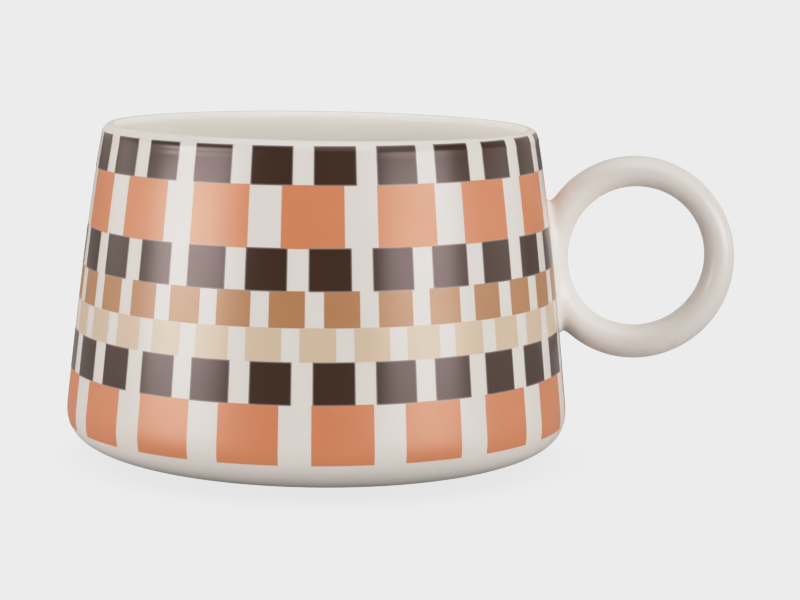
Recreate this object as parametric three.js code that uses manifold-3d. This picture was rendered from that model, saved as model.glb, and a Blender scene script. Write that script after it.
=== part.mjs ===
// A wide, low stoneware mug: a slightly conical cup with a round lip and a full, rounded belly, a ring handle
// luted to the wall with clay slip, and seven rows of fired-on patches.
// Millimetres, +Z up. The foot stands on z = 0, and the origin is under the middle of the object's outer box.
import * as THREE from "three";
import { mergeVertices } from "three/addons/utils/BufferGeometryUtils.js";
import Module from "manifold-3d";

const wasm = await Module();
wasm.setup();

// Cup. Depths are measured down from the rim, heights up from the table.
const HEIGHT = 72.4;
const RIM_RADIUS = 48; // of the wall's cone, carried on up to the rim
const WALL_TAPER = 0.108; // growth of the radius for each millimetre of depth
const LIP_LEAN = 1.37; // how far the top of the wall leans in from the cone
const LIP_LEAN_REACH = 14; // the depth over which that lean fades
const WALL = 3.4;
const LIP_OUTER_DROP = 1.8; // depth at which the lip's outer rounding ends
const LIP_INNER_DROP = 1.6;
const LIP_CREST_INSET = 1.55; // from the outside of the wall to the lip's highest line
const LIP_STEPS = 4;
const BELLY_HEIGHT = 14.5; // of the superellipse that rounds the wall into the underside
const BELLY_REACH = 39.5;
const BELLY_POWER = 3.65;
const UNDERSIDE = 0.66; // height of the belly's lowest level
const BELLY_STEPS = 12;
const FLOOR_HEIGHT = 6.4; // height of the inside floor
const CORNER_HEIGHT = 13; // of the rounding between the inside wall and the inside floor
const CORNER_REACH = 30;
const CORNER_POWER = 3;
const CORNER_STEPS = 8;
const FOOT_OUTER = 32.5;
const FOOT_INNER = 27.5;
const FOOT_CHAMFER = 0.6;
const RECESS_HEIGHT = 1.6; // of the underside inside the foot ring
const AROUND = 48; // facets round the cup

// Ring handle
const RING_RADIUS = 18.5; // to the middle of the tube
const TUBE_RADIUS = 3.35;
const RING_CENTRE_FROM_AXIS = 68.75;
const RING_CENTRE_HEIGHT = 44.9;
const RING_STEPS = 48;
const TUBE_SIDES = 16;
const BED_GAP = 0.3; // left between the clay pieces

// Slip joint, the collar of slip that is wiped round the handle's root
const COLLAR_SPREAD = 1.6; // beyond the tube
const COLLAR_THICKNESS = 1.2;

// Rows of patches from the rim down, each a band that is open at the handle
const FIRST_ROW_DEPTH = 1.05;
const PRINT_THICKNESS = 0.15;
const PRINT_GAP = 0.05; // under the print, and at each edge of a row
const PRINT_DRIFT = 1; // room above and below the rows for their tilt
const PRINT_TILT = THREE.MathUtils.degToRad(0.6); // the rows rise a little towards the handle
const HANDLE_OPENING = THREE.MathUtils.degToRad(15);
const BROWN = 0x432e25;
const TERRACOTTA = 0xd1855c;
const TAN = 0xc8945f;
const CREAM = 0xe3c8a4;
const ROWS = [
  { name: "dark_squares_row_1", endDepth: 8.6, colour: BROWN },
  { name: "terracotta_blocks_row_2", endDepth: 21, colour: TERRACOTTA },
  { name: "dark_squares_row_3", endDepth: 29.4, colour: BROWN },
  { name: "tan_squares_row_4", endDepth: 36.6, colour: TAN },
  { name: "cream_squares_row_5", endDepth: 43.4, colour: CREAM },
  { name: "dark_squares_row_6", endDepth: 51.8, colour: BROWN },
  { name: "terracotta_blocks_row_7", endDepth: 63.8, colour: TERRACOTTA },
];

const GLAZE = 0xe4dfd6;
const BELLY_START = HEIGHT - UNDERSIDE - BELLY_HEIGHT; // depth
const WALL_DEPTHS = [4, 8, 14, 22, 34, 46, BELLY_START]; // between the lip and the belly

// How far a superellipse has pulled in after a drop, when it pulls in by reach over its whole height.
function pullIn(drop, height, reach, power) {
  const part = THREE.MathUtils.clamp(drop / height, 0, 1);
  return reach * (1 - Math.pow(1 - Math.pow(part, power), 1 / power));
}

// The drops that spread the points of such a superellipse evenly round its bend, without its start.
function bendDrops(height, power, steps) {
  const drops = [];
  for (let i = 1; i <= steps; i += 1) {
    drops.push(height * Math.pow(Math.sin((i / steps) * (Math.PI / 2)), 2 / power));
  }
  return drops;
}

function coneRadius(depth) {
  return RIM_RADIUS + WALL_TAPER * depth - LIP_LEAN * Math.exp(-depth / LIP_LEAN_REACH);
}

function outerRadius(depth) {
  return coneRadius(depth) - pullIn(depth - BELLY_START, BELLY_HEIGHT, BELLY_REACH, BELLY_POWER);
}

// Points [radius, height] of the outside, from the foot ring up to just under the lip.
function outerWall() {
  const belly = bendDrops(BELLY_HEIGHT, BELLY_POWER, BELLY_STEPS).map((drop) => BELLY_START + drop);
  const depths = [LIP_OUTER_DROP, ...WALL_DEPTHS, ...belly];
  const points = depths.map((depth) => [outerRadius(depth), HEIGHT - depth]);
  return points.filter(([radius]) => radius > FOOT_OUTER + FOOT_CHAMFER).reverse();
}

// The rounding over the top, from the outside to the inside.
function lip() {
  const crest = outerRadius(LIP_OUTER_DROP) - LIP_CREST_INSET;
  const inside = WALL - LIP_CREST_INSET;
  const points = [];
  for (let i = 1; i < 2 * LIP_STEPS; i += 1) {
    const angle = (i / LIP_STEPS) * (Math.PI / 2);
    const across = Math.cos(angle);
    const width = across > 0 ? LIP_CREST_INSET : inside;
    const drop = across > 0 ? LIP_OUTER_DROP : LIP_INNER_DROP;
    points.push([crest + width * across, HEIGHT - drop * (1 - Math.sin(angle))]);
  }
  return points;
}

// Points of the inside, from just under the lip down to the middle of the floor.
function innerWall() {
  const cornerStart = HEIGHT - FLOOR_HEIGHT - CORNER_HEIGHT;
  const corner = bendDrops(CORNER_HEIGHT, CORNER_POWER, CORNER_STEPS).map((drop) => cornerStart + drop);
  const straight = WALL_DEPTHS.filter((depth) => depth < cornerStart);
  const depths = [LIP_INNER_DROP, ...straight, cornerStart, ...corner];
  const points = depths.map((depth) => {
    const pulled = pullIn(depth - cornerStart, CORNER_HEIGHT, CORNER_REACH, CORNER_POWER);
    const radius = coneRadius(depth) - WALL - pulled;
    return [radius, HEIGHT - depth];
  });
  return [...points, [0, FLOOR_HEIGHT]];
}

// The underside, from its middle out over the foot ring.
function foot() {
  return [
    [0, RECESS_HEIGHT],
    [FOOT_INNER - RECESS_HEIGHT, RECESS_HEIGHT],
    [FOOT_INNER, FOOT_CHAMFER],
    [FOOT_INNER + FOOT_CHAMFER, 0],
    [FOOT_OUTER - FOOT_CHAMFER, 0],
    [FOOT_OUTER, FOOT_CHAMFER],
  ];
}

// A body turned about the cup's axis from [radius, height] points that run up the outside.
function turned(points) {
  const profile = points.map(([radius, height]) => new THREE.Vector2(radius, height));
  return new THREE.LatheGeometry(profile, AROUND).rotateX(Math.PI / 2);
}

// A ring that follows the outer wall between two depths, from one distance outside it to another.
function wallBand(startDepth, endDepth, from, to) {
  const [low, high] = [HEIGHT - endDepth, HEIGHT - startDepth];
  const between = outerWall().filter(([, height]) => height > low && height < high);
  const line = [
    [outerRadius(endDepth), HEIGHT - endDepth],
    ...between,
    [outerRadius(startDepth), HEIGHT - startDepth],
  ];
  const outside = line.map(([radius, height]) => [radius + to, height]);
  const inside = line.map(([radius, height]) => [radius + from, height]).reverse();
  return turned([...outside, ...inside, outside[0]]);
}

// The handle's full ring, standing on edge beside the cup.
function fullRing(tubeRadius) {
  const ring = new THREE.TorusGeometry(RING_RADIUS, tubeRadius, TUBE_SIDES, RING_STEPS);
  return ring.rotateX(Math.PI / 2).translate(RING_CENTRE_FROM_AXIS, 0, RING_CENTRE_HEIGHT);
}

// A wedge over the whole height of the wall, on the handle's side.
function handleWedge() {
  const reach = 2 * RIM_RADIUS;
  const half = reach * Math.tan(HANDLE_OPENING / 2);
  const outline = new THREE.Shape([
    new THREE.Vector2(0, 0),
    new THREE.Vector2(reach, -half),
    new THREE.Vector2(reach, half),
  ]);
  return new THREE.ExtrudeGeometry(outline, { depth: HEIGHT, bevelEnabled: false });
}

// A closed geometry as a solid for cutting, and back again.
function solid(geometry) {
  const bare = geometry.clone();
  bare.deleteAttribute("normal");
  bare.deleteAttribute("uv");
  const merged = mergeVertices(bare);
  const corners = merged.index.array;
  const triVerts = [];
  for (let i = 0; i < corners.length; i += 3) {
    const [a, b, c] = corners.slice(i, i + 3);
    if (a !== b && b !== c && c !== a) triVerts.push(a, b, c);
  }
  const vertProperties = merged.getAttribute("position").array;
  const mesh = new wasm.Mesh({ numProp: 3, vertProperties, triVerts: new Uint32Array(triVerts) });
  return new wasm.Manifold(mesh);
}

function geometryOf(body) {
  const { vertProperties, triVerts } = body.getMesh();
  const geometry = new THREE.BufferGeometry();
  geometry.setAttribute("position", new THREE.BufferAttribute(vertProperties, 3));
  geometry.setIndex(new THREE.BufferAttribute(triVerts, 1));
  geometry.computeVertexNormals();
  return geometry;
}

function cupBody() {
  return turned([...foot(), ...outerWall(), ...lip(), ...innerWall()]);
}

// The ring without the part that would lie inside the wall.
function ringHandle() {
  const bed = wallBand(LIP_OUTER_DROP, BELLY_START, -RIM_RADIUS / 2, BED_GAP);
  return geometryOf(solid(fullRing(TUBE_RADIUS)).subtract(solid(bed)));
}

// The collar: a layer on the wall, as far as it lies close round the ring.
function slipJoint() {
  const layer = wallBand(LIP_OUTER_DROP, BELLY_START, BED_GAP, BED_GAP + COLLAR_THICKNESS);
  const around = solid(fullRing(TUBE_RADIUS + COLLAR_SPREAD));
  const clearance = solid(fullRing(TUBE_RADIUS + BED_GAP));
  return geometryOf(solid(layer).intersect(around).subtract(clearance));
}

// One layer over all the rows, open at the handle.
function printLayer() {
  const lastRow = ROWS[ROWS.length - 1];
  const top = FIRST_ROW_DEPTH - PRINT_DRIFT;
  const bottom = lastRow.endDepth + PRINT_DRIFT;
  const layer = wallBand(top, bottom, PRINT_GAP, PRINT_GAP + PRINT_THICKNESS);
  return solid(layer).subtract(solid(handleWedge()));
}

// The part of that layer between two depths, which are measured at the cup's axis.
function printRow(layer, startDepth, endDepth) {
  const thickness = endDepth - startDepth - 2 * PRINT_GAP;
  const slab = new THREE.BoxGeometry(4 * RIM_RADIUS, 4 * RIM_RADIUS, thickness).rotateY(-PRINT_TILT);
  slab.translate(0, 0, HEIGHT - (startDepth + endDepth) / 2);
  return geometryOf(layer.intersect(solid(slab)));
}

function glazedClay() {
  return new THREE.MeshStandardMaterial({ color: GLAZE, roughness: 0.25, metalness: 0 });
}

function firedPrint(colour) {
  return new THREE.MeshStandardMaterial({ color: colour, roughness: 0.35, metalness: 0 });
}

function named(name, geometry, material) {
  const mesh = new THREE.Mesh(geometry, material);
  mesh.name = name;
  return mesh;
}

// The whole mug about the cup's axis, then moved so that its outer box is centred on the origin.
const mug = new THREE.Group();
mug.add(named("cup_body", cupBody(), glazedClay()));
mug.add(named("ring_handle", ringHandle(), glazedClay()));
mug.add(named("handle_slip_joint", slipJoint(), glazedClay()));

const rowLayer = printLayer();
let rowStart = FIRST_ROW_DEPTH;
for (const row of ROWS) {
  mug.add(named(row.name, printRow(rowLayer, rowStart, row.endDepth), firedPrint(row.colour)));
  rowStart = row.endDepth;
}

const outerBox = new THREE.Box3().setFromObject(mug);
mug.position.x = -(outerBox.min.x + outerBox.max.x) / 2;

export default mug;
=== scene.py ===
"""Looks of the stoneware mug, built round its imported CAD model.

Lengths are millimetres until a mesh is made. Angles round the cup start at the front and go towards +X.
"""
import math

import bpy
import numpy as np
from mathutils import Matrix, Quaternion, Vector


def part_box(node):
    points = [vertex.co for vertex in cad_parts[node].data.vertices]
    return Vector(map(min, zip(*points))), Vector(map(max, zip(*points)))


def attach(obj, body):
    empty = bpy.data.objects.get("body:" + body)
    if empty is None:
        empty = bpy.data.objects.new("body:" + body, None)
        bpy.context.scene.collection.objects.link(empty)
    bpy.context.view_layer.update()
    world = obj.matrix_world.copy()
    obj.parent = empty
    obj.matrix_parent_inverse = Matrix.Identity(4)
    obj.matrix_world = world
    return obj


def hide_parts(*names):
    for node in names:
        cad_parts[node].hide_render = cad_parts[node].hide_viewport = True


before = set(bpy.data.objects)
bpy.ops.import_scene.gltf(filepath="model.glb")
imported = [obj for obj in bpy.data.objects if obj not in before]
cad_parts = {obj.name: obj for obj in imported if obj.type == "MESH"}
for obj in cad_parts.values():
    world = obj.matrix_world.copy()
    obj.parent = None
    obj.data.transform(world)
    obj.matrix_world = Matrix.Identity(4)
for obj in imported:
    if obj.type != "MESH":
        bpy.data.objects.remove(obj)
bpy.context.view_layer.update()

MM = 0.001

# ---------------------------------------------------------------- sizes read from the frame
cup_low, cup_high = (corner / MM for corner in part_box("cup_body"))
ring_low, ring_high = (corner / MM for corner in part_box("ring_handle"))
AXIS_X = (cup_low.x + cup_high.x) / 2
HEIGHT = cup_high.z
TUBE = ring_high.y
RING_RADIUS = (ring_high.z - ring_low.z) / 2 - TUBE
RING_X = ring_high.x - RING_RADIUS - TUBE - AXIS_X
RING_Z = (ring_high.z + ring_low.z) / 2

# ---------------------------------------------------------------- the cup's shape
# It follows the CAD model, apart from the lip, whose outer side is rounded further down here.
RIM_RADIUS = 48.0
WALL_TAPER = 0.108
LIP_LEAN = 1.37
LIP_LEAN_REACH = 14.0
WALL = 3.4
LIP_OUTER_DROP = 2.9
LIP_INNER_DROP = 1.6
LIP_CREST_INSET = 1.95
LIP_EASE_REACH = 4.0
BELLY_HEIGHT = 14.5
BELLY_REACH = 39.5
BELLY_POWER = 3.65
UNDERSIDE = 0.66
FLOOR_HEIGHT = 6.4
CORNER_HEIGHT = 13.0
CORNER_REACH = 30.0
CORNER_POWER = 3.0
FOOT_OUTER = 32.5
FOOT_INNER = 27.5
FOOT_ROUND = 0.6
FOOT_INNER_FLARE = 0.2
FOOT_OUTER_FLARE = 0.25
FOOT_SIDE_RISE = 0.12
FOOT_CLEAR = 0.6  # the belly's outline starts this far out from the foot
GLAZED_FOOT_HEIGHT = 0.45  # the glaze stops here, above the bare ring
GLAZE_OVERLAP = 0.3
BARE_INSET = 0.5
RECESS_HEIGHT = 1.6
RECESS_EDGE = 2.2
RECESS_ROUND = (1.6, 0.8)
ROUND_CUP = 288
ROUND_FOOT = 192
FOOT_TOP = 1.2  # the bare ring's top, hidden in the clay
NO_RADIUS = 1e-6
BELLY_START = HEIGHT - UNDERSIDE - BELLY_HEIGHT
CORNER_START = HEIGHT - FLOOR_HEIGHT - CORNER_HEIGHT

# ---------------------------------------------------------------- the rows of patches
PRINT_TILT = math.radians(0.61)
TILT_CENTRE_DEPTH = 33.0
PRINT_EDGE_GAP = 0.05
HANDLE_ANGLE = 90.0
SEAM_HALF = 0.4  # half of the gap where the two ends of the print meet
ROOT_HALF = 5.0  # degrees to each side of the seam that the handle's root covers
LEAST_WIDTH = 1.0  # a narrower remnant of a patch at the seam is left out
ROOT_DEPTHS = (13.0, 45.0)  # and the depths between which it does
ROWS = [
    # node, material, degrees from one patch to the next, patch width in degrees, start of the front patch
    ("dark_squares_row_1", "brown", 15.15, 10.05, 0.8),
    ("terracotta_blocks_row_2", "terracotta", 22.46, 14.6, -6.7),
    ("dark_squares_row_3", "brown", 14.51, 9.55, -0.2),
    ("tan_squares_row_4", "tan", 12.24, 7.95, 3.2),
    ("cream_squares_row_5", "cream", 11.98, 7.95, -2.15),
    ("dark_squares_row_6", "brown", 13.74, 9.05, 0.8),
    ("terracotta_blocks_row_7", "terracotta", 20.37, 13.3, 0.55),
]
# Thickness of the fired print, the width over which its colour fades out at the edge, how far it
# spreads past its place on the sheet, and how much further it does so along its lower edge.
PRINTS = {
    "brown": (0.06, 0.1, 0.08, 0.07),
    "terracotta": (0.04, 0.25, 0.04, 0.1),
    "tan": (0.045, 0.25, 0.04, 0.06),
    "cream": (0.035, 0.35, 0.04, 0.0),
}
PATCH_CORNER = 0.45  # size of the rounded corner
PATCH_STEP = 1.1  # greatest distance between points across a patch
EDGE_LIP = 0.06  # width of the thin border of a patch
EDGE_THIN = 0.3  # its share of the full thickness
PRINT_SUNK = -0.1  # the hidden side of a patch lies this far under the glaze
SLOPE_STEP = 0.02
SOFT_EDGE = 0.2  # an edge that fades over more than this has its points where the colour changes


# ---------------------------------------------------------------- profile curves
def pull_in(drop, height, reach, power):
    part = np.clip(drop / height, 0, 1)
    return reach * (1 - (1 - part**power) ** (1 / power))


def cone_radius(depth):
    return RIM_RADIUS + WALL_TAPER * depth - LIP_LEAN * np.exp(-depth / LIP_LEAN_REACH)


def wall_radius(depth):
    """Outer radius of the wall and belly, carried on upwards past the lip's rounding."""
    return cone_radius(depth) - pull_in(depth - BELLY_START, BELLY_HEIGHT, BELLY_REACH, BELLY_POWER)


def outer_radius(depth):
    """Outer radius with the lip's rounding."""
    depth = np.asarray(depth, float)
    above = np.clip((LIP_OUTER_DROP - depth) / LIP_OUTER_DROP, 0, 1)
    start = wall_radius(np.float64(LIP_OUTER_DROP))
    rounded = start - LIP_CREST_INSET * (1 - np.sqrt(1 - above**2))
    return np.where(depth < LIP_OUTER_DROP, rounded, wall_radius(np.maximum(depth, LIP_OUTER_DROP)))


def bend_drops(height, power, steps):
    angles = np.linspace(0, math.pi / 2, steps + 1)[1:]
    return height * np.sin(angles) ** (2 / power)


def quarter(centre, from_axis, to_axis, steps):
    """Points of a quarter ellipse round centre, without its two ends."""
    angles = np.linspace(0, math.pi / 2, steps + 1)[1:-1]
    centre, from_axis, to_axis = (np.array(v, float) for v in (centre, from_axis, to_axis))
    return [tuple(centre + from_axis * math.cos(a) + to_axis * math.sin(a)) for a in angles]


def underside():
    """[radius, height] from the middle of the recess out to the glazed side of the foot."""
    recess_round, recess_drop = RECESS_ROUND
    recess = FOOT_INNER - RECESS_EDGE
    points = [(0.0, RECESS_HEIGHT), (recess, RECESS_HEIGHT)]
    points += quarter((recess, RECESS_HEIGHT - recess_drop), (0, recess_drop), (recess_round, 0), 5)
    points.append((FOOT_INNER - FOOT_INNER_FLARE, FOOT_ROUND))
    points.append((FOOT_INNER + GLAZE_OVERLAP, GLAZED_FOOT_HEIGHT))
    points.append((FOOT_OUTER - GLAZE_OVERLAP, GLAZED_FOOT_HEIGHT))
    points.append((FOOT_OUTER, FOOT_ROUND))
    points.append((FOOT_OUTER + FOOT_OUTER_FLARE, UNDERSIDE + FOOT_SIDE_RISE))
    return points


def outer_side():
    """[radius, height] from the foot up the belly and wall to the start of the lip."""
    belly = BELLY_START + bend_drops(BELLY_HEIGHT, BELLY_POWER, 64)
    depths = np.concatenate([np.linspace(LIP_OUTER_DROP, BELLY_START, 46), belly])
    points = [(float(wall_radius(depth)), HEIGHT - depth) for depth in depths[::-1]]
    return [point for point in points if point[0] > FOOT_OUTER + FOOT_CLEAR]


def lip():
    """[radius, height] over the lip, with a quarter ellipse on each side of its crest."""
    crest = float(wall_radius(LIP_OUTER_DROP)) - LIP_CREST_INSET
    outer_centre = (crest, HEIGHT - LIP_OUTER_DROP)
    inner_centre = (crest, HEIGHT - LIP_INNER_DROP)
    points = quarter(outer_centre, (LIP_CREST_INSET, 0), (0, LIP_OUTER_DROP), 12)
    points.append((crest, HEIGHT))
    return points + quarter(inner_centre, (0, LIP_INNER_DROP), (LIP_CREST_INSET - WALL, 0), 12)


def inner_side():
    """[radius, height] from under the lip down to the middle of the floor."""
    corner = CORNER_START + bend_drops(CORNER_HEIGHT, CORNER_POWER, 40)
    depths = np.concatenate([np.linspace(LIP_INNER_DROP, CORNER_START, 36), corner])
    step_at_lip = cone_radius(LIP_OUTER_DROP) - cone_radius(LIP_INNER_DROP)
    points = []
    for depth in depths:
        pulled = pull_in(depth - CORNER_START, CORNER_HEIGHT, CORNER_REACH, CORNER_POWER)
        ease = step_at_lip * math.exp(-(depth - LIP_INNER_DROP) / LIP_EASE_REACH)
        points.append((float(cone_radius(depth) - WALL - pulled + ease), HEIGHT - depth))
    points += [(radius, FLOOR_HEIGHT) for radius in (16.0, 8.0, 0.0)]
    return points


def cup_profile():
    """One side of the cup, from the axis underneath, over the lip, to the axis on the floor inside."""
    return underside() + outer_side() + lip() + inner_side()


# ---------------------------------------------------------------- mesh helpers
def mesh_object(name, points, faces, material, normals=None):
    """A smooth mesh from points in millimetres about the cup's axis."""
    points = np.asarray(points, float) + (AXIS_X, 0, 0)
    mesh = bpy.data.meshes.new(name)
    mesh.from_pydata((points * MM).tolist(), [], faces)
    mesh.validate()
    mesh.polygons.foreach_set("use_smooth", [True] * len(mesh.polygons))
    mesh.materials.append(material)
    if normals is not None:
        mesh.normals_split_custom_set_from_vertices(normals.tolist())
    piece = bpy.data.objects.new(name, mesh)
    bpy.context.scene.collection.objects.link(piece)
    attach(piece, "root")
    return piece


def turned(name, profile, around, material):
    """A body turned about the cup's axis. An end of the profile that lies on the axis becomes one point."""
    points, rings = [], []
    angles = np.linspace(0, 2 * math.pi, around, endpoint=False)
    for radius, height in profile:
        if radius < NO_RADIUS:
            rings.append([len(points)] * around)
            points.append((0, 0, height))
        else:
            rings.append(list(range(len(points), len(points) + around)))
            points += [(radius * math.cos(a), radius * math.sin(a), height) for a in angles]
    pairs = list(zip(rings, rings[1:]))
    if profile[0][0] > NO_RADIUS:
        pairs.append((rings[-1], rings[0]))
    faces = []
    for low, high in pairs:
        for i in range(around):
            j = (i + 1) % around
            corners = [low[i], low[j], high[j], high[i]]
            faces.append(list(dict.fromkeys(corners)))
    return mesh_object(name, points, faces, material)


# ---------------------------------------------------------------- the handle
FILLET = 2.6  # how far the wiped slip spreads between ring and wall
SINK = 0.01  # the fillet's edge runs this far below the glaze
BEDDED = 1.1  # how deep the ring's hidden side sits in the wall
NORMAL_BLEND = 0.3
SLIP_EDGE = 0.065  # the fillet ends where it is this far above the glaze, just over the patches
ROUND_STEPS = 288
SEEN_STEPS = 56
HIDDEN_STEPS = 4
SEARCH_SPARE = 2.0
SEARCH_STEPS = 160
SEARCH_HALVINGS = 30
EDGE_HALVINGS = 14


def tube_radius(angle):
    """The ring is hand finished: its tube is a little fuller underneath and towards the cup."""
    fuller_below = -0.17 * np.sin(angle)
    fuller_inward = -0.1 * np.cos(angle)
    uneven = 0.09 * np.cos(2 * (angle + math.radians(65)))
    return TUBE + 0.08 + fuller_below + fuller_inward + uneven


def line_radius(angle):
    """The ring is a little taller than it is wide, and flattened where it was pressed on."""
    taller = 0.07 - 0.1 * np.cos(2 * angle)
    pressed = -0.5 * np.clip(-np.cos(angle), 0, 1) ** 4
    return RING_RADIUS + taller + pressed


def ring_distance(p):
    x = p[..., 0] - RING_X
    z = p[..., 2] - RING_Z
    angle = np.arctan2(z, x)
    from_line = np.hypot(np.hypot(x, z) - line_radius(angle), p[..., 1])
    return from_line - tube_radius(angle)


def cup_distance(p):
    lean = math.cos(math.atan(WALL_TAPER))
    return (np.hypot(p[..., 0], p[..., 1]) - wall_radius(HEIGHT - p[..., 2])) * lean


def blended(a, b):
    """Distance to the two shapes joined with a soft fillet."""
    h = np.clip(FILLET - np.abs(a - b), 0, None) / FILLET
    return np.minimum(a, b) - h * h * FILLET / 4


def handle_distance(p, sink=SINK):
    cup = cup_distance(p)
    return np.maximum(blended(ring_distance(p), cup + sink), -cup - BEDDED)


def gradient(field, p, step=0.02):
    out = np.empty_like(p)
    for axis in range(3):
        shift = np.zeros(3)
        shift[axis] = step
        out[..., axis] = field(p + shift) - field(p - shift)
    return out / np.linalg.norm(out, axis=-1, keepdims=True)


def leave_length(centre, ray, reach):
    """How far along each ray from the ring's centre line the joined shape ends."""
    low = np.zeros_like(reach)
    high = reach.copy()
    found = np.zeros(reach.shape, bool)
    previous = np.zeros_like(reach)
    for part in np.linspace(0, 1, SEARCH_STEPS + 1)[1:]:
        length = reach * part
        outside = handle_distance(centre + ray * length[..., None]) > 0
        first = outside & ~found
        low[first], high[first] = previous[first], length[first]
        found |= outside
        previous = length
    low[~found] = reach[~found]
    for _ in range(SEARCH_HALVINGS):
        middle = (low + high) / 2
        inside = handle_distance(centre + ray * middle[..., None]) < 0
        low = np.where(inside, middle, low)
        high = np.where(inside, high, middle)
    return (low + high) / 2


def ring_points(u, v):
    """Surface points at angle u round the ring and v round its tube, from v = 0 at the ring's middle."""
    outward = np.stack([np.cos(u) + 0 * v, 0 * u + 0 * v, np.sin(u) + 0 * v], -1)
    centre = np.array([RING_X, 0, RING_Z]) + line_radius(u)[..., None] * outward
    ray = -outward * np.cos(v)[..., None] - np.array([0, 1, 0]) * np.sin(v)[..., None]
    reach = tube_radius(u + 0 * v) + FILLET + SEARCH_SPARE
    return centre + ray * leave_length(centre, ray, reach)[..., None]


def visible_turn(u):
    """How far round the tube, from the ring's middle, the surface stands clear of the wall."""
    low = np.zeros_like(u)
    high = np.full_like(u, math.pi)
    for _ in range(EDGE_HALVINGS):
        middle = (low + high) / 2
        clear = cup_distance(ring_points(u, middle)) > SLIP_EDGE
        low = np.where(clear, middle, low)
        high = np.where(clear, high, middle)
    return low


def smooth_step(part):
    return part * part * (3 - 2 * part)


def handle_surface():
    """Points and normals of the joined ring, with a line of points along the edge of the wiped slip."""
    u = np.linspace(0, 2 * math.pi, ROUND_STEPS, endpoint=False)[:, None]
    even_turn = math.pi * SEEN_STEPS / (SEEN_STEPS + HIDDEN_STEPS)
    edge = np.minimum(visible_turn(u), even_turn)
    seen = np.linspace(0, 1, SEEN_STEPS + 1)[None, :] * edge
    hidden = edge + np.linspace(0, 1, HIDDEN_STEPS + 1)[None, 1:] * (math.pi - edge)
    half = np.concatenate([seen, hidden], 1)
    v = np.concatenate([half, 2 * math.pi - half[:, -2:0:-1]], 1)
    points = ring_points(u, v)
    normals = gradient(lambda p: blended(ring_distance(p), cup_distance(p)), points)
    weight = smooth_step(np.clip(cup_distance(points) / NORMAL_BLEND, 0, 1))[..., None]
    normals = normals * weight + gradient(cup_distance, points) * (1 - weight)
    normals /= np.linalg.norm(normals, axis=-1, keepdims=True)
    return points, normals


def grid_faces(rows, columns):
    """Quads of a grid that closes on itself both ways."""
    faces = []
    for i in range(rows):
        for j in range(columns):
            k, m = (i + 1) % rows, (j + 1) % columns
            faces.append([i * columns + j, i * columns + m, k * columns + m, k * columns + j])
    return faces


def make_handle(material):
    points, normals = handle_surface()
    faces = grid_faces(*points.shape[:2])
    points, normals = points.reshape(-1, 3), normals.reshape(-1, 3)
    return mesh_object("glazed_ring_handle", points, faces, material, normals)


# ---------------------------------------------------------------- the patches
def tilted(angle, depth):
    """Where a point of the print lies on the cup, with the print turned a little in the handle's plane."""
    radius = outer_radius(depth)
    new_angle = angle - PRINT_TILT * (TILT_CENTRE_DEPTH - depth) * np.cos(angle) / radius
    return new_angle, depth - PRINT_TILT * radius * np.sin(angle)


def on_wall(angle, depth, lift):
    """A point at an angle from the front towards +X, at a depth below the rim, lifted off the wall."""
    slope = (outer_radius(depth + SLOPE_STEP) - outer_radius(depth - SLOPE_STEP)) / (2 * SLOPE_STEP)
    length = np.sqrt(1 + slope**2)
    radius = outer_radius(depth) + lift / length
    height = HEIGHT - depth + lift * slope / length
    return np.stack([radius * np.sin(angle), -radius * np.cos(angle), height], -1)


def edge_steps(size, fade):
    """Distances across a patch from one edge to the other, closer together near both edges."""
    near = [0.0, EDGE_LIP, PATCH_CORNER]
    if fade > SOFT_EDGE:
        near = [0.0, EDGE_LIP, fade / 2, fade]
    inner = size - 2 * near[-1]
    count = max(3, round(inner / PATCH_STEP))
    middle = [near[-1] + inner * i / count for i in range(1, count)]
    return np.array(near + middle + [size - d for d in reversed(near)])


def sheet_faces(rows, columns):
    """Quads of a grid of points and of its copy underneath, and the strip that joins their edges."""
    count = rows * columns
    faces = []
    for i in range(rows - 1):
        for j in range(columns - 1):
            a = i * columns + j
            quad = [a, a + columns, a + columns + 1, a + 1]
            faces.append(quad)
            faces.append([count + k for k in reversed(quad)])
    rim = list(range(columns))
    rim += [i * columns + columns - 1 for i in range(1, rows)]
    rim += [(rows - 1) * columns + j for j in range(columns - 2, -1, -1)]
    rim += [i * columns for i in range(rows - 2, 0, -1)]
    for a, b in zip(rim, rim[1:] + rim[:1]):
        faces.append([a, b, count + b, count + a])
    return faces


def patch_grid(start, end, top, bottom, thickness, fade, spread, sag):
    """Points, faces and fade values of one closed patch between two angles and two depths."""
    middle = (top + bottom) / 2
    radius = float(outer_radius(middle))
    grow = spread + fade / 2
    width = math.radians(end - start) * radius + 2 * grow
    tall = bottom - top + 2 * grow + sag
    across = edge_steps(width, fade)
    down = edge_steps(tall, fade)
    s, t = np.meshgrid(across, down)
    inset = np.minimum(np.minimum(s, width - s), np.minimum(t, tall - t))
    corner = PATCH_CORNER * (1 - math.sqrt(0.5))
    for i in (0, -1):
        for j in (0, -1):
            s[i, j] += corner if j == 0 else -corner
            t[i, j] += corner if i == 0 else -corner
    angle = math.radians(start) + (s - grow) / radius
    angle, depth = tilted(angle, top - grow + t)
    lift = np.where(inset > 0.01, thickness, thickness * EDGE_THIN)
    upper = on_wall(angle, depth, lift).reshape(-1, 3)
    lower = on_wall(angle, depth, PRINT_SUNK).reshape(-1, 3)
    normals = (on_wall(angle, depth, 1.0) - on_wall(angle, depth, 0.0)).reshape(-1, 3)
    points = np.vstack([upper, lower])
    solid_colour = np.clip(inset / max(fade, 0.01), 0, 1).reshape(-1)
    return points, sheet_faces(*s.shape), np.tile(solid_colour, 2), np.tile(normals, (2, 1))


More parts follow.
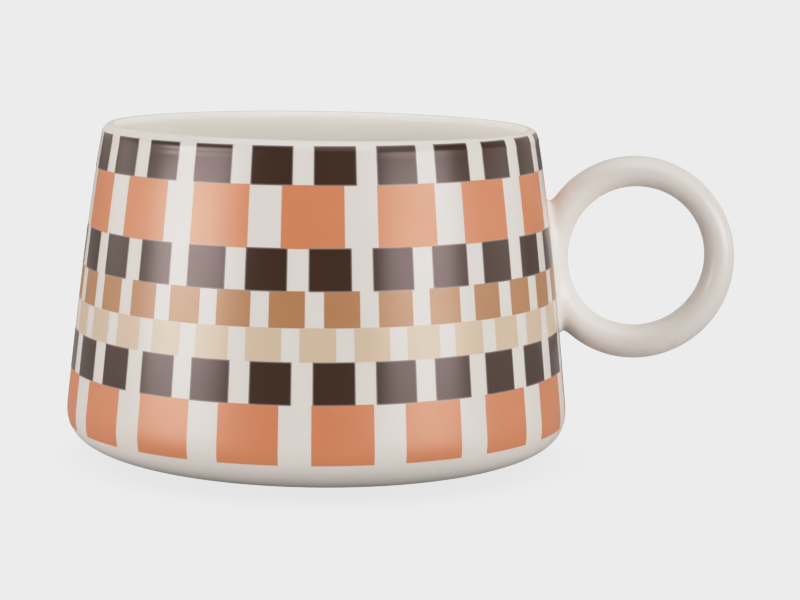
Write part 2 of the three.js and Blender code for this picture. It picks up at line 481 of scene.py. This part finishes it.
def row_depths(node_name):
    """Upper and lower edge of a row at the cup's axis, from its CAD band, which is tilted a little."""
    low, high = (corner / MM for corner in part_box(node_name))
    tall = high.z - low.z - (high.x - low.x) * math.tan(PRINT_TILT) + 2 * PRINT_EDGE_GAP
    middle = HEIGHT - (high.z + low.z) / 2
    return middle - tall / 2, middle + tall / 2


def row_spans(pitch, width, phase, top, bottom):
    """Start and end angle of each patch, going round from one side of the handle to the other."""
    first = math.ceil((HANDLE_ANGLE - 360 - phase - width) / pitch)
    last = math.floor((HANDLE_ANGLE - phase) / pitch)
    at_root = top < ROOT_DEPTHS[1] and bottom > ROOT_DEPTHS[0]
    spans = []
    for k in range(first, last + 1):
        start = max(phase + k * pitch, HANDLE_ANGLE - 360 + SEAM_HALF)
        end = min(phase + k * pitch + width, HANDLE_ANGLE - SEAM_HALF)
        from_handle = min(abs(HANDLE_ANGLE - end), abs(start - HANDLE_ANGLE + 360))
        hidden = at_root and from_handle + end - start < ROOT_HALF
        if end - start > LEAST_WIDTH and not hidden:
            spans.append((start, end))
    return spans


def make_row(node_name, print_name, pitch, width, phase, material):
    top, bottom = row_depths(node_name)
    points, faces, colours, normals = [], [], [], []
    for start, end in row_spans(pitch, width, phase, top, bottom):
        patch = patch_grid(start, end, top, bottom, *PRINTS[print_name])
        base = sum(len(earlier) for earlier in points)
        points.append(patch[0])
        faces += [[base + i for i in face] for face in patch[1]]
        colours.append(patch[2])
        normals.append(patch[3])
    piece = mesh_object(node_name + "_print", np.vstack(points), faces, material, np.vstack(normals))
    layer = piece.data.attributes.new("pigment", "FLOAT", "POINT")
    layer.data.foreach_set("value", np.concatenate(colours).astype(np.float32))
    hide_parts(node_name)


# ---------------------------------------------------------------- materials
WHITE = (1.0, 1.0, 1.0)
GLAZE_COLOUR = (0.672, 0.648, 0.612)
# Glaze inside the cup, with painted light: much lighter than outside, to offset the shade within the cup.
INSIDE_GLAZE_AND_PAINTED_LIGHT = (0.855, 0.84, 0.79)
GLAZE_ROUGHNESS = 0.26
GLAZE_SHINE = 0.34
HANDLE_ROUGHNESS = 0.28
HANDLE_SHINE = 0.5
INSIDE_SHINE = 0.2
# Painted light: near the wall the handle's glaze colour is made this much paler, to offset the shade that
# the cup casts on that side of the ring.
HANDLE_PAINTED_LIGHT = 1.2
PAINTED_LIGHT_SPAN = (-0.7, 0.2)  # where the paler glaze fades out, in ring radii from the ring's middle
GLAZE_SHADES = (0.985, 1.015)
PRINT_SHADES = (0.97, 1.03)
ROUGHNESS_SWING = 0.02
NOISE_SPAN = (0.15, 0.85)  # the values that noise mostly takes
# Features per millimetre of the coat's clouding, specks, uneven roughness, low waves and orange peel.
GLAZE_CLOUDS = 0.03
PRINT_CLOUDS = 0.15
CLAY_SPECKS = 2.5
ROUGHNESS_NOISE = 0.12
WAVES = 0.05
ORANGE_PEEL = 1.6
# Heights in millimetres of the coat's low waves and of its fine orange peel or grain.
LOW_WAVE = 0.012
GLAZE_GRAIN = 0.0006
PRINT_GRAIN = 0.001
CLAY_WAVE = 0.02
CLAY_GRAIN = 0.03
CLAY_ROUGHNESS = 0.85
CLAY_SHINE = 0.5
CLAY_COLOURS = [(0.42, 0.36, 0.29, 1), (0.55, 0.49, 0.41, 1)]
# Roughness, strength and tint of each fired print's shine.
FINISHES = {
    "brown": (0.25, 0.5, (1.0, 0.86, 0.87)),
    "terracotta": (0.39, 0.88, WHITE),
    "tan": (0.37, 0.8, WHITE),
    "cream": (0.34, 0.6, WHITE),
}
PIGMENTS = {
    "brown": (0.043, 0.0215, 0.0122),
    "terracotta": (0.575, 0.203, 0.08),
    "tan": (0.395, 0.192, 0.075),
    "cream": (0.58, 0.462, 0.345),
}


def new_material(name):
    material = bpy.data.materials.new(name)
    material.use_nodes = True
    tree = material.node_tree
    shader = tree.nodes["Principled BSDF"]
    return material, tree, shader


def node(tree, kind, **inputs):
    made = tree.nodes.new(kind)
    for key, value in inputs.items():
        made.inputs[key.replace("_", " ")].default_value = value
    return made


def noise(tree, position, scale, detail=2.0):
    """Noise whose scale is given in features per millimetre."""
    made = node(tree, "ShaderNodeTexNoise", Scale=scale / MM, Detail=detail)
    tree.links.new(position.outputs["Object"], made.inputs["Vector"])
    return made.outputs["Fac"]


def in_range(tree, value, low, high):
    """The usual span of the noise, mapped to a range."""
    made = node(tree, "ShaderNodeMapRange")
    made.inputs["From Min"].default_value, made.inputs["From Max"].default_value = NOISE_SPAN
    made.inputs["To Min"].default_value = low
    made.inputs["To Max"].default_value = high
    tree.links.new(value, made.inputs["Value"])
    return made.outputs["Result"]


def shaded(colour, factor):
    return tuple(c * factor for c in colour) + (1,)


def mixed(tree, factor, a, b):
    made = tree.nodes.new("ShaderNodeMix")
    made.data_type = "RGBA"
    for socket, value in (("A", a), ("B", b)):
        target = next(entry for entry in made.inputs if entry.name == socket and entry.type == "RGBA")
        if isinstance(value, tuple):
            target.default_value = value
        else:
            tree.links.new(value, target)
    tree.links.new(factor, made.inputs["Factor"])
    return next(result for result in made.outputs if result.type == "RGBA")


def glaze_colour(tree, position, colour=GLAZE_COLOUR):
    """Off-white, with slow clouding where the coat is thicker or thinner."""
    cloud = in_range(tree, noise(tree, position, GLAZE_CLOUDS, 3), 0, 1)
    return mixed(tree, cloud, *(shaded(colour, shade) for shade in GLAZE_SHADES))


def add_surface(tree, shader, position, roughness, wave, grain, shine):
    """Roughness that varies a little, and the low waves and fine orange peel of a fired coat."""
    shader.inputs["Specular IOR Level"].default_value = shine
    low, high = roughness - ROUGHNESS_SWING, roughness + ROUGHNESS_SWING
    rough = in_range(tree, noise(tree, position, ROUGHNESS_NOISE), low, high)
    tree.links.new(rough, shader.inputs["Roughness"])
    previous = None
    for scale, height in ((WAVES, wave), (ORANGE_PEEL, grain)):
        bump = node(tree, "ShaderNodeBump", Strength=1.0, Distance=height * MM)
        tree.links.new(noise(tree, position, scale), bump.inputs["Height"])
        if previous:
            tree.links.new(previous.outputs["Normal"], bump.inputs["Normal"])
        previous = bump
    tree.links.new(previous.outputs["Normal"], shader.inputs["Normal"])


def glaze_material(name, colour, shine):
    material, tree, shader = new_material(name)
    position = tree.nodes.new("ShaderNodeTexCoord")
    tree.links.new(glaze_colour(tree, position, colour), shader.inputs["Base Color"])
    add_surface(tree, shader, position, GLAZE_ROUGHNESS, LOW_WAVE, GLAZE_GRAIN, shine)
    return material


def handle_glaze_painted_light():
    """The same glaze, painted a little paler near the wall: painted light that offsets the shade the cup
    casts on that side of the ring.
    """
    material, tree, shader = new_material("handle_glaze_painted_light")
    position = tree.nodes.new("ShaderNodeTexCoord")
    split = tree.nodes.new("ShaderNodeSeparateXYZ")
    tree.links.new(position.outputs["Object"], split.inputs["Vector"])
    away = node(tree, "ShaderNodeMapRange")
    away.interpolation_type = "SMOOTHSTEP"
    away.inputs["From Min"].default_value = (AXIS_X + RING_X + RING_RADIUS * PAINTED_LIGHT_SPAN[0]) * MM
    away.inputs["From Max"].default_value = (AXIS_X + RING_X + RING_RADIUS * PAINTED_LIGHT_SPAN[1]) * MM
    tree.links.new(split.outputs["X"], away.inputs["Value"])
    # painted light: a paler glaze colour near the wall, offsetting the cup's shade on the handle
    painted_lighter = glaze_colour(tree, position, shaded(GLAZE_COLOUR, HANDLE_PAINTED_LIGHT)[:3])
    colour = mixed(tree, away.outputs["Result"], painted_lighter, glaze_colour(tree, position))
    tree.links.new(colour, shader.inputs["Base Color"])
    add_surface(tree, shader, position, HANDLE_ROUGHNESS, LOW_WAVE, GLAZE_GRAIN, HANDLE_SHINE)
    return material


def print_material(name, colour):
    """Fired pigment, a little uneven, that fades into the glaze at the patch's edge."""
    material, tree, shader = new_material("print_" + name)
    position = tree.nodes.new("ShaderNodeTexCoord")
    cloud = in_range(tree, noise(tree, position, PRINT_CLOUDS, 3), 0, 1)
    pigment = mixed(tree, cloud, *(shaded(colour, shade) for shade in PRINT_SHADES))
    edge = tree.nodes.new("ShaderNodeAttribute")
    edge.attribute_name = "pigment"
    smooth = node(tree, "ShaderNodeMapRange")
    smooth.interpolation_type = "SMOOTHSTEP"
    tree.links.new(edge.outputs["Fac"], smooth.inputs["Value"])
    faded = mixed(tree, smooth.outputs["Result"], glaze_colour(tree, position), pigment)
    tree.links.new(faded, shader.inputs["Base Color"])
    roughness, shine, tint = FINISHES[name]
    shader.inputs["Specular Tint"].default_value = tint + (1,)
    add_surface(tree, shader, position, roughness, LOW_WAVE, PRINT_GRAIN, shine)
    return material


def clay_material():
    """Bare stoneware where the glaze is wiped off the foot: warm grey-buff, rough and speckled."""
    material, tree, shader = new_material("bare_clay")
    position = tree.nodes.new("ShaderNodeTexCoord")
    speck = in_range(tree, noise(tree, position, CLAY_SPECKS, 4), 0, 1)
    tree.links.new(mixed(tree, speck, *CLAY_COLOURS), shader.inputs["Base Color"])
    add_surface(tree, shader, position, CLAY_ROUGHNESS, CLAY_WAVE, CLAY_GRAIN, CLAY_SHINE)
    return material


def glaze_inside(cup):
    """The glaze inside is painted lighter than the coat outside: painted light that offsets the shade
    within the cup.
    """
    cup.data.materials.append(glaze_material("inside_glaze_painted_light", INSIDE_GLAZE_AND_PAINTED_LIGHT, INSIDE_SHINE))
    for face in cup.data.polygons:
        x, y, z = face.center / MM
        height_below_crest = HEIGHT - z
        inner = math.hypot(x - AXIS_X, y) < wall_radius(height_below_crest) - LIP_CREST_INSET
        if inner and z > FLOOR_HEIGHT - 0.01:
            face.material_index = 1


def make_bare_foot():
    """The ring of bare clay that the mug stands on."""
    inner, outer = FOOT_INNER + BARE_INSET, FOOT_OUTER - BARE_INSET
    points = [(inner, FOOT_TOP), (inner, FOOT_ROUND)]
    points += quarter((inner + FOOT_ROUND, FOOT_ROUND), (-FOOT_ROUND, 0), (0, -FOOT_ROUND), 5)
    points += [(inner + FOOT_ROUND, 0.0), (outer - FOOT_ROUND, 0.0)]
    points += quarter((outer - FOOT_ROUND, FOOT_ROUND), (0, -FOOT_ROUND), (FOOT_ROUND, 0), 5)
    points += [(outer, FOOT_ROUND), (outer, FOOT_TOP)]
    turned("bare_foot_ring", points, ROUND_FOOT, clay_material())


# ---------------------------------------------------------------- the object
glaze = glaze_material("off_white_glaze", GLAZE_COLOUR, GLAZE_SHINE)
cup = turned("glazed_cup", cup_profile(), ROUND_CUP, glaze)
glaze_inside(cup)
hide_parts("cup_body")

handle = make_handle(handle_glaze_painted_light())
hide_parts("ring_handle", "handle_slip_joint")

print_materials = {name: print_material(name, colour) for name, colour in PIGMENTS.items()}
for row in ROWS:
    make_row(*row, print_materials[row[1]])

make_bare_foot()

# ---------------------------------------------------------------- stage
PICTURE_WHITE = 0.839
BACKDROP_LEVEL = 1.05
FLOOR_HALF = 30.0  # metres, so that the stage runs out of sight
FLOOR_ALBEDO = 0.56
CONTACT_SHADE = 0.16
CONTACT_REACH = 0.03
TONE_POINTS = [(0.3, 0.3), (0.6, 0.6), (0.72, 0.695), (0.86, 0.77)]
STUDIO_COLOUR = (1.0, 0.9, 0.82)
STUDIO_LEVELS = (0.08, 0.7)  # on the camera's side and behind
STUDIO_TURN = (-0.1, 0.8)  # where it changes, from -1 in front to 1 behind
KEY_COLOUR = (1.0, 0.945, 0.935)
FILL_COLOUR = (1.0, 0.93, 0.875)
LIGHTS = [
    # name, azimuth, elevation and lean in degrees, distance, width and height in metres, radiance, colour
    ("left_key", -62, 6, 16, 1.3, 0.98, 0.47, 7.9, KEY_COLOUR),
    ("left_fill", -88, 4, 0, 1.3, 1.7, 0.36, 1.4, FILL_COLOUR),
    ("right_key", 51, 7, 0, 1.3, 0.86, 0.5, 6.5, KEY_COLOUR),
    ("right_fill", 82, 4, 0, 1.3, 1.7, 0.36, 1.3, FILL_COLOUR),
    ("front_top_light", 28, 46, 0, 1.4, 1.4, 0.9, 1.5, WHITE),
    ("overhead_light", 0, 88, 0, 1.2, 1.3, 1.3, 1.2, WHITE),
]
# The camera's place in millimetres from the cup's axis and rim, its turn in degrees, and its lens.
CAMERA_RIGHT = 17.81
CAMERA_DISTANCE = 525.3
CAMERA_ABOVE_RIM = 37.08
CAMERA_PITCH = 8.14
CAMERA_ROLL = 1.063
SENSOR_WIDTH = 36
FOCAL_LENGTH = 109.14


def lens_only(tree, to_lens, to_mug):
    """Joins two shaders: one that the lens sees, and one that lights and mirrors in the mug."""
    seen = tree.nodes.new("ShaderNodeLightPath")
    mix = tree.nodes.new("ShaderNodeMixShader")
    tree.links.new(seen.outputs["Is Camera Ray"], mix.inputs["Fac"])
    tree.links.new(to_mug, mix.inputs[1])
    tree.links.new(to_lens, mix.inputs[2])
    return mix.outputs["Shader"]


def stage_material():
    """An even pale surface with a faint shade under the mug, which it lights as a matt floor."""
    material = bpy.data.materials.new("pale_stage")
    material.use_nodes = True
    tree = material.node_tree
    tree.nodes.clear()
    nearness = node(tree, "ShaderNodeAmbientOcclusion", Distance=CONTACT_REACH)
    nearness.samples = 32
    level = node(tree, "ShaderNodeMapRange")
    level.inputs["To Min"].default_value = BACKDROP_LEVEL * (1 - CONTACT_SHADE)
    level.inputs["To Max"].default_value = BACKDROP_LEVEL
    tree.links.new(nearness.outputs["AO"], level.inputs["Value"])
    even = tree.nodes.new("ShaderNodeEmission")
    tree.links.new(level.outputs["Result"], even.inputs["Strength"])
    matt = node(tree, "ShaderNodeBsdfDiffuse", Color=(FLOOR_ALBEDO, FLOOR_ALBEDO, FLOOR_ALBEDO, 1))
    out = tree.nodes.new("ShaderNodeOutputMaterial")
    tree.links.new(lens_only(tree, even.outputs["Emission"], matt.outputs["BSDF"]), out.inputs["Surface"])
    return material


def make_floor():
    mesh = bpy.data.meshes.new("floor")
    far = FLOOR_HALF
    corners = [(-far, -far, 0), (far, -far, 0), (far, far, 0), (-far, far, 0)]
    mesh.from_pydata(corners, [], [[0, 1, 2, 3]])
    mesh.materials.append(stage_material())
    floor = bpy.data.objects.new("floor", mesh)
    bpy.context.scene.collection.objects.link(floor)


def make_world():
    """An even backdrop for the lens, and for the mug a studio that is dim in front and pale behind."""
    world = bpy.data.worlds.new("studio")
    bpy.context.scene.world = world
    world.use_nodes = True
    tree = world.node_tree
    position = tree.nodes.new("ShaderNodeTexCoord")
    split = tree.nodes.new("ShaderNodeSeparateXYZ")
    tree.links.new(position.outputs["Generated"], split.inputs["Vector"])
    around = node(tree, "ShaderNodeMapRange")
    around.interpolation_type = "SMOOTHSTEP"
    around.inputs["From Min"].default_value, around.inputs["From Max"].default_value = STUDIO_TURN
    around.inputs["To Min"].default_value, around.inputs["To Max"].default_value = STUDIO_LEVELS
    tree.links.new(split.outputs["Y"], around.inputs["Value"])
    studio = tree.nodes["Background"]
    tree.links.new(around.outputs["Result"], studio.inputs["Strength"])
    studio.inputs["Color"].default_value = STUDIO_COLOUR + (1,)
    backdrop = node(tree, "ShaderNodeBackground", Strength=BACKDROP_LEVEL, Color=(1, 1, 1, 1))
    both = lens_only(tree, backdrop.outputs["Background"], studio.outputs["Background"])
    tree.links.new(both, tree.nodes["World Output"].inputs["Surface"])


def softbox(name, azimuth, elevation, lean, distance, width, tall, radiance, colour):
    """A soft light that faces the mug. Azimuth 0 is the camera's side, and lean turns it in its plane."""
    light = bpy.data.lights.new(name, "AREA")
    light.shape = "RECTANGLE"
    light.size, light.size_y = width, tall
    light.energy = radiance * math.pi * width * tall
    light.color = colour
    lamp = bpy.data.objects.new(name, light)
    lamp.visible_camera = False
    bpy.context.scene.collection.objects.link(lamp)
    a, e = math.radians(azimuth), math.radians(elevation)
    away = Vector((math.sin(a) * math.cos(e), -math.cos(a) * math.cos(e), math.sin(e)))
    target = Vector((AXIS_X * MM, 0, HEIGHT / 2 * MM))
    lamp.location = target + away * distance
    lamp.rotation_mode = "QUATERNION"
    lamp.rotation_quaternion = away.to_track_quat("Z", "Y") @ Quaternion((0, 0, 1), math.radians(lean))


def make_camera():
    """The camera stands in front of the mug and looks down on it, tipped a little to one side."""
    pitch, roll = math.radians(CAMERA_PITCH), math.radians(CAMERA_ROLL)
    camera = bpy.data.cameras.new("camera")
    camera.sensor_width = SENSOR_WIDTH
    camera.lens = FOCAL_LENGTH
    camera.clip_start, camera.clip_end = 0.05, 100
    holder = bpy.data.objects.new("camera", camera)
    bpy.context.scene.collection.objects.link(holder)
    forward = Vector((0, math.cos(pitch), -math.sin(pitch)))
    level_up = Vector((0, math.sin(pitch), math.cos(pitch)))
    level_right = Vector((1, 0, 0))
    right = level_right * math.cos(roll) + level_up * math.sin(roll)
    up = level_up * math.cos(roll) - level_right * math.sin(roll)
    turn = Matrix((right, up, -forward)).transposed().to_4x4()
    place = Vector((AXIS_X + CAMERA_RIGHT, -CAMERA_DISTANCE, HEIGHT + CAMERA_ABOVE_RIM)) * MM
    holder.matrix_world = Matrix.Translation(place) @ turn
    bpy.context.scene.camera = holder


def set_tones():
    """Bright tones run softly into the picture's white, as in a product photograph."""
    settings = bpy.context.scene.view_settings
    settings.view_transform = "Standard"
    settings.use_curve_mapping = True
    mapping = settings.curve_mapping
    mapping.use_clip = False
    mapping.extend = "HORIZONTAL"
    curve = mapping.curves[3]
    curve.points[1].location = (1.0, PICTURE_WHITE)
    for x, y in TONE_POINTS:
        curve.points.new(x, y)
    for point in curve.points:
        point.handle_type = "AUTO_CLAMPED"
    mapping.update()


make_floor()
make_world()
for light in LIGHTS:
    softbox(*light)
make_camera()
set_tones()
